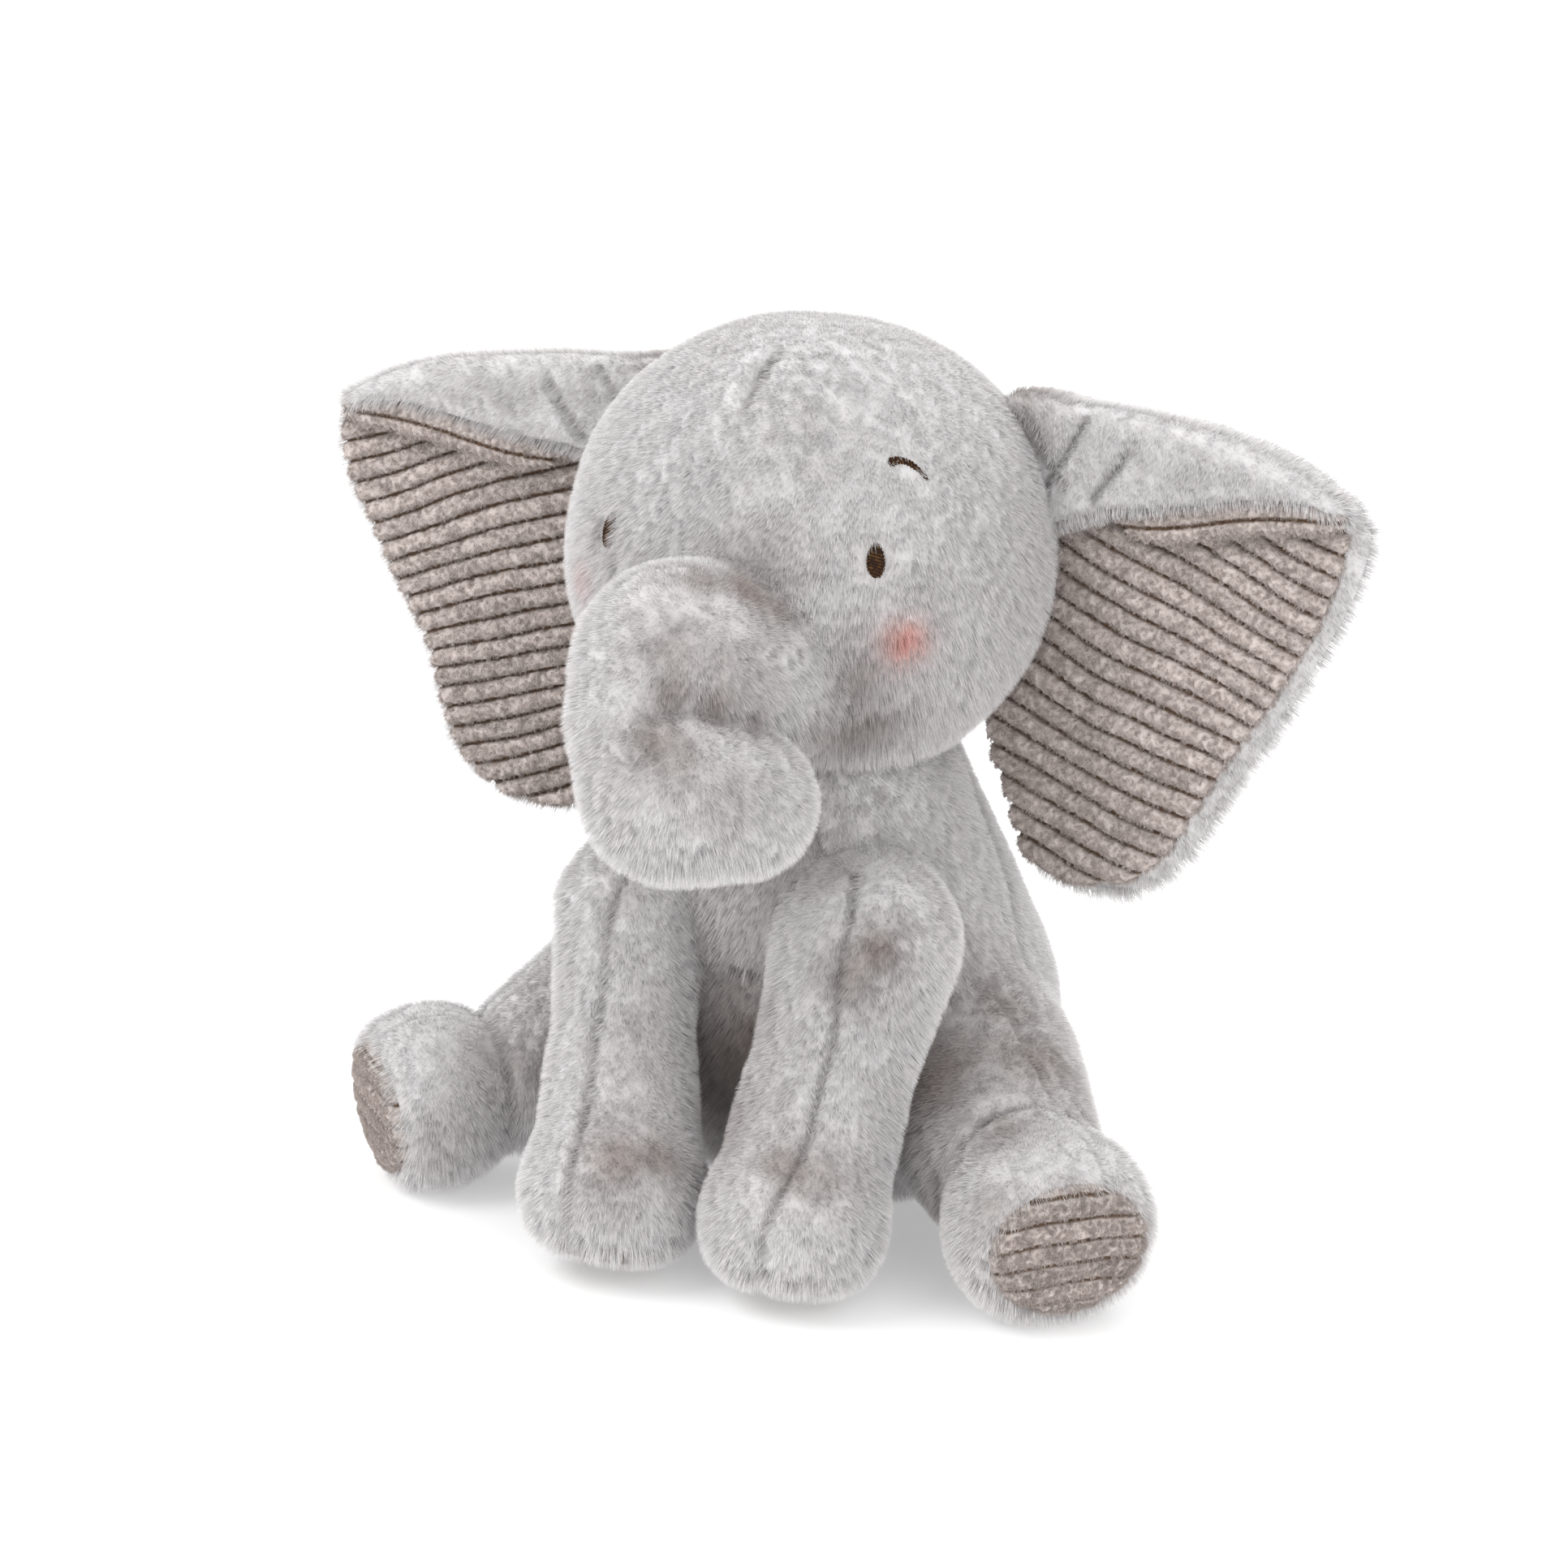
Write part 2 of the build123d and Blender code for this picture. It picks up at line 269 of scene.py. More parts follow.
def weigh(obj, name, weights):
    """A vertex group with weights in tenths."""
    group = obj.vertex_groups.new(name=name)
    tenths = np.round(np.clip(weights, 0, 1) * 10).astype(int)
    for tenth in range(1, 11):
        chosen = np.nonzero(tenths == tenth)[0]
        if len(chosen):
            group.add(chosen.tolist(), tenth / 10, "REPLACE")
    return group


def grow_pile(obj, weights, count, fibre, lean=(0, 0, 0), children=CHILDREN, thick=PILE_THICK,
              clump=PILE_CLUMP, spread=PILE_SPREAD, seed=1):
    """Hair over a mesh: fibre is its length in millimetres, lean how far its tip is combed."""
    density = weigh(obj, "pile", weights)
    obj.modifiers.new("pile", "PARTICLE_SYSTEM")
    system = obj.particle_systems[-1]
    system.seed = seed
    system.vertex_group_density = density.name
    s = system.settings
    s.type = "HAIR"
    s.use_advanced_hair = True
    s.count = count
    s.hair_length = fibre * MM
    s.hair_step = 3
    s.display_step = s.render_step = 2
    s.object_align_factor = [x * MM / FIBRE_BEND for x in lean]
    s.factor_random = FIBRE_RANDOM * fibre * MM / FIBRE_BEND
    s.brownian_factor = FIBRE_STRAY * fibre * MM / FIBRE_BEND
    s.child_type = "SIMPLE"
    s.rendered_child_count = children
    s.child_percent = 0
    s.child_radius = spread * MM
    s.child_length = 1.0
    s.clump_factor = clump
    s.clump_shape = 0.2
    s.roughness_2 = FIBRE_WAVE * MM
    s.roughness_2_size = 0.4
    s.roughness_endpoint = FIBRE_WAVE * MM
    s.root_radius = thick
    s.tip_radius = thick * 0.35
    s.radius_scale = MM
    s.use_close_tip = True
    s.material = 1
    return system


# ---- materials -----------------------------------------------------------------------------
# Fibres differ at random between the first two shares; the tip's share is the lit end of the painted shade
# from root to tip.
DARKEST_FIBRE, LIGHTEST_FIBRE, FIBRE_TIP = 0.70, 1.18, 1.08     # shares of the tint


def cloth_material(name, roughness, sheen, sheen_tint, grain, grain_size, fibre_shade, bump_height,
                   backing_shade=1.0):
    """Tinted cloth: the tint attribute and a fine grain; on fibres, painted shade that darkens towards the
    root; the cloth under the pile is scaled by the last argument, painted shade from the pile over it.
    """
    material = bpy.data.materials.new(name)
    material.use_nodes = True
    nodes, links = material.node_tree.nodes, material.node_tree.links
    shader = nodes["Principled BSDF"]
    shader.inputs["Roughness"].default_value = roughness
    shader.inputs["Sheen Weight"].default_value = sheen
    shader.inputs["Sheen Roughness"].default_value = 0.5
    shader.inputs["Sheen Tint"].default_value = (*sheen_tint, 1)
    shader.inputs["Specular IOR Level"].default_value = 0.15
    tint = nodes.new("ShaderNodeAttribute")
    tint.attribute_name = "tint"
    rest = nodes.new("ShaderNodeAttribute")
    rest.attribute_name = "rest"
    grains = nodes.new("ShaderNodeTexNoise")
    grains.inputs["Scale"].default_value = 1 / (grain_size * MM)
    grains.inputs["Detail"].default_value = 4
    links.new(rest.outputs["Vector"], grains.inputs["Vector"])
    strength = nodes.new("ShaderNodeMapRange")
    strength.inputs["To Min"].default_value = backing_shade * (1 - grain)
    strength.inputs["To Max"].default_value = backing_shade * (1 + grain * 0.6)
    links.new(grains.outputs["Fac"], strength.inputs["Value"])
    hair = nodes.new("ShaderNodeHairInfo")
    # Painted shade along each fibre: darker at the root, deep in the pile.
    along = nodes.new("ShaderNodeMapRange")
    along.inputs["To Min"].default_value = fibre_shade
    along.inputs["To Max"].default_value = FIBRE_TIP
    links.new(hair.outputs["Intercept"], along.inputs["Value"])
    each = nodes.new("ShaderNodeMapRange")
    each.inputs["To Min"].default_value = DARKEST_FIBRE
    each.inputs["To Max"].default_value = LIGHTEST_FIBRE
    links.new(hair.outputs["Random"], each.inputs["Value"])
    fibre = nodes.new("ShaderNodeMath")
    fibre.operation = "MULTIPLY"
    links.new(along.outputs["Result"], fibre.inputs[0])
    links.new(each.outputs["Result"], fibre.inputs[1])
    pick = nodes.new("ShaderNodeMix")
    pick.data_type = "FLOAT"
    links.new(hair.outputs["Is Strand"], pick.inputs[0])
    links.new(strength.outputs["Result"], pick.inputs[2])
    links.new(fibre.outputs["Value"], pick.inputs[3])
    shade = nodes.new("ShaderNodeVectorMath")
    shade.operation = "SCALE"
    links.new(tint.outputs["Color"], shade.inputs[0])
    links.new(pick.outputs[0], shade.inputs["Scale"])
    links.new(shade.outputs["Vector"], shader.inputs["Base Color"])
    if bump_height:
        relief = nodes.new("ShaderNodeBump")
        relief.inputs["Distance"].default_value = bump_height * MM
        links.new(grains.outputs["Fac"], relief.inputs["Height"])
        links.new(relief.outputs["Normal"], shader.inputs["Normal"])
    return material


def srgb(r, g, b):
    """A colour from 0 to 255 as linear light."""
    c = np.array([r, g, b]) / 255
    return np.where(c <= 0.04045, c / 12.92, ((c + 0.055) / 1.055) ** 2.4)


PLUSH = srgb(244, 242, 242)
PLUSH_PAINTED_SHADE = srgb(176, 164, 159)
SEAM_AND_FOLD_SHADE = srgb(84, 76, 72)
BLUSH = srgb(250, 165, 150)
RIB = srgb(208, 197, 192)
RIB_PIT_SHADE = srgb(160, 147, 141)
VALLEY = srgb(92, 72, 56)
THREAD = srgb(46, 30, 22)
FIBREFILL = srgb(236, 236, 232)
BAG = srgb(214, 208, 190)

# The plush cloth is darkened under its pile, as painted shade from the pile over it.
plush = cloth_material("plush", 0.9, 0.1, (0.95, 0.96, 1.0), 0.16, 1.2, 0.56, 0.4, backing_shade=0.74)
corduroy = cloth_material("corduroy", 0.95, 0.2, (1.0, 0.95, 0.92), 0.22, 0.7, 0.7, 0.5)
thread = cloth_material("thread", 0.8, 0.0, (1, 1, 1), 0.3, 0.5, 0.9, 0.1)
fibrefill = cloth_material("fibrefill", 0.9, 0.3, (1, 1, 1), 0.1, 2.0, 0.9, 0.5)
bag_cloth = cloth_material("bag_cloth", 0.8, 0.1, (1, 1, 1), 0.12, 0.6, 0.9, 0.2)

# ---- plush covers --------------------------------------------------------------------------
def plush_tint(p, shade_patches, seams=(), blush=()):
    """Light pile with painted shade in creases, hollows and under parts, partly also darker pile where the
    nap parts; a dark line along seams; pink on the cheeks.
    """
    shade = np.zeros(len(p))
    # Painted shade: a darker plush colour over ragged patches, with tone that differs at random over the
    # whole cover.
    for centre, radius, strength in shade_patches:
        ragged = length(p - np.asarray(centre)) * (1 + 0.25 * noise(p, 6, 7))
        shade = np.maximum(shade, strength * np.exp(-(ragged / radius) ** 2))
    shade = np.clip(shade + 0.05 * noise(p, 18, 3) + 0.03 * noise(p, 5, 4), 0, 1)[:, None]
    tint = PLUSH * (1 - shade) + PLUSH_PAINTED_SHADE * shade
    # A dark line along each seam line given; on the ears these include the pleat folds, where the line is
    # painted shade.
    for seam in seams:
        near = (0.6 * bump(seam(p), 0.8))[:, None]
        tint = tint * (1 - near) + SEAM_AND_FOLD_SHADE * near
    for centre, radius, strength in blush:
        ragged = length(p - np.asarray(centre)) * (1 + 0.12 * noise(p, 3, 9))
        near = (strength * bump(ragged, radius))[:, None]
        tint = tint * (1 - near) + BLUSH * near
    return tint


def nap_relief(p):
    """Stuffed unevenness and tufts, as height in millimetres."""
    tufts = 0.04 * noise(p, vec(1.3, 1.3, 2.6), 11)
    return 0.6 * noise(p, 24, 13) + 0.12 * noise(p, 11, 14) + tufts


def cover_form(field, low, high, seams=(), depth=1.5, step=0.8):
    """Points and quads of a plush cover, pulled in along its seams."""
    p, quads, n = shape(field, low, high, step)
    height = nap_relief(p)
    for seam in seams:
        height -= depth * bump(seam(p), 2.0)
    return p + n * height[:, None], quads


PILE_PER_MM2 = 1.0                      # tufts
FIBRE = 3.3                             # length of the pile
# How far the embroidery is from the head's middle. The right brow is deep in the pile.
EYE_RADIUS, BROW_RADIUS = 58.8, {"left": 59.5, "right": 58.0}


def cover(name, form, hidden, shade_patches=(), seams=(), blush=(), bald=(), fibre=FIBRE, lean=(0, -0.3, -2.0),
          seed=1):
    """A plush cover. hidden is a field that is negative where no pile grows."""
    p, quads = form
    obj = make_mesh(name, p, quads, plush, plush_tint(p, shade_patches, seams, blush))
    weights = fade(hidden(p), -0.6, 0.2)
    for seam in seams:
        weights = weights * (1 - 0.9 * bump(seam(p), 0.55))
    for centre, radius in bald:
        weights = weights * fade(length(p - np.asarray(centre)), radius * 0.8, radius * 1.1)
    corners = p[quads]
    area = length(np.cross(corners[:, 2] - corners[:, 0], corners[:, 3] - corners[:, 1])) / 2
    covered = (area * weights[quads].mean(1)).sum()
    grow_pile(obj, weights, int(covered * PILE_PER_MM2), fibre, lean, seed=seed)
    return obj


def split_form(form, sides):
    """Splits a form along a seam: sides(p) is negative on one side. Edge points go on to the seam."""
    p, quads = form
    p = p.copy()
    first = sides(p[quads].mean(1)) < 0
    edge = np.zeros(len(p), int)
    np.bitwise_or.at(edge, quads[first].ravel(), 1)
    np.bitwise_or.at(edge, quads[~first].ravel(), 2)
    on_seam = edge == 3
    if on_seam.any():
        n, steep = slope(sides, p[on_seam])
        p[on_seam] -= n * np.clip(sides(p[on_seam]) / np.maximum(steep, 0.3), -1, 1)[:, None]
    parts = []
    for chosen in (quads[first], quads[~first]):
        kept, renumbered = np.unique(chosen.ravel(), return_inverse=True)
        parts.append((p[kept], renumbered.reshape(-1, 4)))
    return parts


# ---- body fields ---------------------------------------------------------------------------
def torso_alone(p):
    pear = cone(p, belly, neck, belly_r - NAP, neck_r - NAP)
    return cut(pear, 1.0 - p[:, 2], 8)


FRONT_LEGS = {                          # shoulder, ankle and foot, each a centre and a radius
    "left": ((31, -28, 88), 23.6, (25.5, -45, 44), 18.4, (26, -58, 23.5), 23.0),
    "right": ((-36, -31, 88), 19.6, (-30, -48, 45), 16.9, (-23.5, -62.5, 23.5), 23.0),
}


def front_points(side):
    """The shoulder, ankle and foot of a front leg."""
    return [np.array(FRONT_LEGS[side][k], float) for k in (0, 2, 4)]


def front_sole_normal():
    n = vec(0, -0.32, -0.95)
    return n / length(n)


FRONT_SOLE_REACH = 17.5                 # from the middle of the foot to its sole
FRONT_SOLE_BARE = (11.0, 10.5)          # half the width and height of the patch that grows no pile


def front_leg_alone(p, side):
    top, top_r, ankle, ankle_r, foot, foot_r = FRONT_LEGS[side]
    upper = cone(p, top, ankle, top_r - NAP, ankle_r - NAP)
    leg = join(upper, cone(p, ankle, foot, ankle_r - NAP, foot_r - NAP), 9)
    toe = ball(p, np.array(foot) + vec(0, -3.5, -1), foot_r - 2.0 - NAP)
    leg = join(leg, toe, 6)
    return cut(leg, (p - foot) @ front_sole_normal() - FRONT_SOLE_REACH, 6)


HIND_LEGS = {                           # hip, ankle and foot, each a centre and a radius
    "left": ((42, 9, 40), 30.0, (71, -24, 31), 22.8, (88, -40.5, 25.4), 23.0),
    "right": ((-48, 10, 48), 30.5, (-77, -21, 28.5), 20.2, (-98, -36.5, 24.6), 22.8),
}


def hind_points(side):
    return [np.array(HIND_LEGS[side][k], float) for k in (0, 2, 4)]


def sole_normal(side):
    n = vec(SIDES[side] * 0.69, -0.72, -0.10)
    return n / length(n)


HIND_SOLE_REACH = 12.0
HIND_SOLE_BARE = (19.5, 16.4)
ANKLE_SEAM_BACK = 19.5                  # from the middle of the foot to the seam behind it


def hind_leg_alone(p, side):
    hip, hip_r, ankle, ankle_r, foot, foot_r = HIND_LEGS[side]
    foot = np.array(foot)
    thigh = cone(p, hip, ankle, hip_r - NAP, ankle_r - NAP)
    across = vec(SIDES[side] * 0.67, 0.74, 0) * 3.3
    shank = cone(p, foot - across, foot + across, foot_r - NAP, foot_r - NAP)
    heel = ball(p, foot - 7 * sole_normal(side), foot_r - 1.2 - NAP)
    shank = join(shank, heel, 8)
    leg = join(thigh, shank, 3)
    return cut(leg, (p - foot) @ sole_normal(side) - HIND_SOLE_REACH, 6)


def hind_sole_frame(side):
    n = sole_normal(side)
    across = np.cross(vec(0, 0, 1), n)
    across /= length(across)
    return hind_points(side)[2] + HIND_SOLE_REACH * n + vec(0, 0, -1.5), across, np.cross(n, across), n


def front_sole_frame(side):
    n = front_sole_normal()
    across = vec(1, 0, 0)
    return front_points(side)[2] + FRONT_SOLE_REACH * n, across, np.cross(n, across), n


def legs_alone(p):
    return np.minimum.reduce([leg(p, side) for side in SIDES for leg in (front_leg_alone, hind_leg_alone)])


FILLET = 7.0                            # how softly a leg runs into the torso


def head_alone(p):
    half = vec(head_half_width - head_r, 0, 0)
    return cone(p, head_centre - half, head_centre + half, head_r - NAP, head_r - NAP)


TRUNK = {                               # from the face, round the bend and back to the tip
    "base": (vec(4, -45, 161), 26.0),
    "rise": (vec(0, -71, 167.5), 23.2),
    "bend": (vec(-4, -87, 156.5), 15.5),
    "fold": (vec(7, -86, 141.5), 20.8),
    "tip": (vec(18, -73, 136), 18.2),
}


def trunk_piece(p, a, b):
    return cone(p, TRUNK[a][0], TRUNK[b][0], TRUNK[a][1] - NAP, TRUNK[b][1] - NAP)


def trunk_alone(p):
    out = join(trunk_piece(p, "base", "rise"), trunk_piece(p, "rise", "bend"), 8)
    back = join(trunk_piece(p, "bend", "fold"), trunk_piece(p, "fold", "tip"), 8)
    return join(out, back, 1.0)


TRUNK_CREASE = [(7, -99, 162.5), (10.5, -95.5, 164), (15.5, -91, 163.5), (20, -86.5, 160.5), (24.5, -80, 156)]


def trunk_crease(p):
    """The fold inside the bend, which starts softly at the front."""
    return path_distance(p, TRUNK_CREASE) * 0.8 + 1.6 * (1 - fade(p[:, 0], 0, 14)) + 0.3 * noise(p, 7, 15)


def neck_room(p):
    return ball(p, neck, neck_r - NAP + 0.4)


# ---- torso and legs ------------------------------------------------------------------------
def torso_field(p):
    body = torso_alone(p)
    legs = legs_alone(p)
    return np.maximum(join(body, legs, FILLET), body - 1.6)


def leg_field(alone):
    def field(p):
        leg, body = alone(p), torso_alone(p)
        return np.maximum(join(body, leg, FILLET), leg - FILLET / 4)
    return field


def clear_of_sole(hidden, where, half_width, half_height):
    """Adds the patch of a foot that its sole covers to what is hidden."""
    def field(p):
        r = p - where[0]
        share = np.sqrt((r @ where[1] / half_width) ** 2 + (r @ where[2] / half_height) ** 2)
        return np.minimum(hidden(p), np.maximum((share - 1) * half_height, -4 - r @ where[3]))
    return field


BELT_HEIGHT = 73                        # the seam between the chest panel and the belly panel


def chest_edge(z):
    """Half the width of the chest panel, wide at the shoulders."""
    return np.interp(z, [60, BELT_HEIGHT, 92, 105, 128, 150], [9, 9, 24, 20, 14, 14])


def chest_seam(p):
    """Signed distance to the two seams beside the chest; negative between them."""
    return np.abs(p[:, 0]) - chest_edge(p[:, 2]) + 200.0 * (p[:, 1] > 15)


def chest_seam_line(p):
    d = np.abs(p[:, 0]) - chest_edge(p[:, 2])
    return np.where((p[:, 1] < 15) & (p[:, 2] > BELT_HEIGHT), d, OFF_SEAM)


def belt_seam_line(p):
    return np.where((p[:, 1] < 10) & (np.abs(p[:, 0]) < 26), p[:, 2] - BELT_HEIGHT, OFF_SEAM)


def side_seam_line(p):
    line = np.interp(p[:, 2], [48, 94, 129, 140], [22, 22.7, 17, 16])
    return np.where(p[:, 2] > 48, p[:, 1] - line, OFF_SEAM)


def back_seam_line(p):
    return np.where(p[:, 1] > 30, p[:, 0], OFF_SEAM)


TORSO_SEAMS = (chest_seam_line, belt_seam_line, side_seam_line, back_seam_line)
# Painted shade on the torso: darker plush under the chest, between the legs and where the legs meet the body.
TORSO_PAINTED_SHADE = [
    ((0, -38, 110), 22, 0.45), ((20, -44, 104), 12, 0.35), ((0, -42, 80), 20, 0.25),
    ((0, -25, 50), 28, 1.0), ((50, 2, 62), 14, 0.5),
    ((-50, 2, 62), 14, 0.6), ((-20, -44, 104), 12, 0.6),
]


def hidden_from_torso(p):
    return np.minimum(legs_alone(p), head_alone(p))


torso_form = cover_form(torso_field, (-60, -56, -2), (60, 84, 152), TORSO_SEAMS)
front_part, rest_part = split_form(torso_form, chest_seam)
chest_part, belly_part = split_form(front_part, lambda p: BELT_HEIGHT - p[:, 2])
right_part, left_part = split_form(rest_part, lambda p: p[:, 0])
for name, node, form in (
    ("chest_panel", "chest_gusset", chest_part), ("belly_panel", "belly_gusset", belly_part),
    ("torso_panel_left", "torso_side_left", left_part), ("torso_panel_right", "torso_side_right", right_part),
):
    panel = cover(name, form, hidden_from_torso, TORSO_PAINTED_SHADE, TORSO_SEAMS, seed=len(name))
    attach(panel, "torso")
    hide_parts(node)

FRONT_SEAMS = {                         # height, and where across the toy the seam is there
    "left": ((10, 15, 48, 77, 97, 108), (25, 26, 32, 33.5, 34, 31)),
    "right": ((10, 15, 39, 67, 91, 108), (-23, -24, -27, -32, -32, -30)),
}


def shoulder_crease(p):
    """The fold across the top of the left front leg, and the smaller one across the right."""
    left = p[:, 2] - (100.3 - 0.27 * (p[:, 0] - 36)) + 0.6 * np.sin(p[:, 0] / 3)
    right = p[:, 2] - (101 + 0.2 * (p[:, 0] + 36))
    line = np.hypot(np.where(p[:, 0] > 0, left, right * 1.6) * 0.6, 1.3)
    return np.where((np.abs(p[:, 0]) > 33) & (np.abs(p[:, 0]) < 54) & (p[:, 1] < -28), line, OFF_SEAM)


# Painted shade on the front legs: darker plush under the shoulder crease, round the ankles and where the legs
# meet the chest.
FRONT_PAINTED_SHADE = {
    "left": [
        ((42.8, -47, 92), 8, 0.9), ((38, -52, 86), 8, 0.8), ((31, -72, 43), 9, 0.8), ((38, -69, 40), 9, 0.6),
        ((26, -40, 112), 8, 0.5), ((10, -50, 40), 14, 0.6), ((6, -45, 70), 10, 0.5),
    ],
    "right": [
        ((-14, -79, 38), 10, 0.85), ((-6, -70, 36), 8, 0.8), ((-20, -76, 44), 8, 0.5),
        ((-14, -62, 60), 12, 0.4), ((-28, -53, 104), 10, 0.45), ((-10, -60, 62), 10, 0.3),
        ((-42, -40, 50), 12, 0.4),
    ],
}
for side, s in SIDES.items():
    foot = front_points(side)[2]

    def front_seam(p, side=side):
        line = np.interp(p[:, 2], *FRONT_SEAMS[side]) + 0.5 * np.sin(p[:, 2] / 5)
        return np.where((p[:, 1] < -32 - (60 - p[:, 2]) * 0.35) & (p[:, 2] < 108), p[:, 0] - line, OFF_SEAM)

    def back_seam(p, s=s):
        return np.where(p[:, 1] > -40 + (60 - p[:, 2]) * -0.35, p[:, 0] - s * 27, OFF_SEAM)

    def alone(p, side=side):
        return front_leg_alone(p, side)

    seams = (front_seam, back_seam)
    low, high = (min(0, s * 60) - 4, -95, -2), (max(0, s * 60) + 4, 2, 120)
    form = cover_form(leg_field(alone), low, high, (*seams, shoulder_crease))
    hidden = clear_of_sole(torso_alone, front_sole_frame(side), *FRONT_SOLE_BARE)
    leg = cover("front_leg_plush_" + side, form, hidden, FRONT_PAINTED_SHADE[side], seams, seed=21 + s)
    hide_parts("front_leg_cover_" + side)
    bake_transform(leg)

# Painted shade on the hind legs: darker plush in the creases and hollows round them.
HIND_PAINTED_SHADE = {
    "left": [
        ((57, 0, 64), 12, 0.7), ((70, -12, 55), 14, 0.75), ((50, -22, 50), 16, 0.9), ((74, -40, 48), 9, 0.6),
        ((64, -34, 22), 14, 0.7), ((80, -62, 36), 7, 0.5),
    ],
    "right": [
        ((-58, -42, 42), 15, 0.9), ((-62, -54, 31), 12, 0.6), ((-72, -60, 24), 10, 0.55),
        ((-60, -24, 52), 12, 0.35),
    ],
}
for side, s in SIDES.items():
    foot = hind_points(side)[2]
    n = sole_normal(side)

    def ankle_seam(p, foot=foot, n=n):
        d = (p - foot) @ n + ANKLE_SEAM_BACK
        return np.where(p[:, 2] > 12, d, OFF_SEAM)

    def top_seam(p, s=s):
        across = vec(s * 0.67, 0.74, 0)
        d = (p - vec(s * 42, 9, 40)) @ across
        return np.where(p[:, 2] > 30, d - 4, OFF_SEAM)

    def alone(p, side=side):
        return hind_leg_alone(p, side)

    low, high = (min(s * 16, s * 126), -84, -3), (max(s * 16, s * 126), 50, 76)
    form = cover_form(leg_field(alone), low, high, (ankle_seam, top_seam))
    hidden = clear_of_sole(torso_alone, hind_sole_frame(side), *HIND_SOLE_BARE)
    leg = cover("hind_leg_plush_" + side, form, hidden, HIND_PAINTED_SHADE[side], (ankle_seam,), seed=31 + s)
    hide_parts("hind_leg_cover_" + side)
    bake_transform(leg)

# ---- head and trunk ------------------------------------------------------------------------
FACE_TURN = math.radians(3.2)           # the face looks a little to its left


def on_face(at, side, radius):
    """A place on the left of the face, or its mirror image, turned with the face and set at a radius."""
    angle = FACE_TURN
    x, y, z = vec(SIDES[side], 1, 1) * (at - head_centre)
    d = vec(x * math.cos(angle) - y * math.sin(angle), x * math.sin(angle) + y * math.cos(angle), z)
    return head_centre + d / length(d) * radius


EYES = {side: on_face(eye_at + vec(0, 0, 2.0), side, EYE_RADIUS) for side in SIDES}
BROWS = {side: on_face(brow_at + vec(-1.2, 0, 2.6), side, BROW_RADIUS[side]) for side in SIDES}


def head_field(p):
    head, trunk = head_alone(p), trunk_alone(p)
    both = np.maximum(join(head, trunk, 8), head - 1.2)
    return cut(both, -neck_room(p), 2.5)


def trunk_field(p):
    head, trunk = head_alone(p), trunk_alone(p)
    return np.maximum(join(head, trunk, 8), trunk - 2.0)


def crown_seam(p):
    """The seam over the head, open only in a short dart near the top."""
    short = fade(p[:, 1], -36, -32) * (1 - fade(p[:, 1], -20, -14)) * (p[:, 2] > 200)
    return np.where(short > 0.05, 0.7 * p[:, 0] / np.clip(short, 0.05, 1), OFF_SEAM)


def eye_dent(p):
    """The shallow dent round each eye, as a distance that is 0 in its middle."""
    return np.minimum(*[length(p - EYES[side]) for side in SIDES]) / 1.6


# Painted shade on the head: darker plush above and beside the trunk's root, under the cheek and round each
# eye.
HEAD_PAINTED_SHADE = [
    ((16, -57, 190), 10, 0.45), ((33, -43, 159), 9, 0.6), ((32, -34, 144), 12, 0.7), ((36, -44, 168), 9, 0.3),
    (EYES["left"], 4.2, 0.5), (EYES["right"], 3.6, 0.4),
]
CHEEKS = [(vec(45.4, -37.3, 169.5), 5.4, 0.8), (vec(-43, -41, 176), 5.0, 0.22)]


def hidden_from_head(p):
    return np.minimum(trunk_alone(p), neck_room(p) - 1.0)


head_form = cover_form(head_field, (-66, -62, 118), (66, 66, 242), (crown_seam, eye_dent))
right_half, left_half = split_form(head_form, lambda p: p[:, 0])
bald_spots = [                          # a little above the embroidery, because the pile hangs down
    (EYES["left"] + vec(0, 0, 1.0), 4.9), (EYES["right"] + vec(0, 0, 1.0), 3.6),
    (BROWS["left"] + vec(0, 0, 1.2), 3.0),
]
for side, form in (("left", left_half), ("right", right_half)):
    half = cover("head_panel_" + side, form, hidden_from_head, HEAD_PAINTED_SHADE, (crown_seam,), CHEEKS, bald_spots,
                 lean=(0, -0.8, -2.2), seed=41 + SIDES[side])
    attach(half, "head")
    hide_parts("head_side_" + side)

# Painted shade on the trunk: darker plush above and in its fold, and where it meets the face.
TRUNK_PAINTED_SHADE = [
    ((17, -64, 185.5), 9, 1.0), ((22, -58, 181), 8, 0.8), ((9, -73, 191), 8, 0.7),
    ((10, -92, 177), 10, 0.5), ((21, -84, 172), 11, 0.45), ((11, -94.5, 166.5), 6, 0.8),
    ((18.5, -87.5, 163), 6, 0.85), ((23, -75, 157), 5, 0.7), ((11, -102, 158), 8, 0.75),
    ((17.5, -102.5, 153), 7, 0.6), ((27, -96.5, 143.5), 8, 0.35), ((25, -44, 146), 7, 0.6),
]
trunk_form = cover_form(trunk_field, (-32, -110, 106), (40, -12, 198), (trunk_crease,), depth=2.2)
trunk = cover("trunk_cover_plush", trunk_form, head_alone, TRUNK_PAINTED_SHADE, (), lean=(0, -0.4, -1.6), seed=51)
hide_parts("trunk_cover")
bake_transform(trunk)

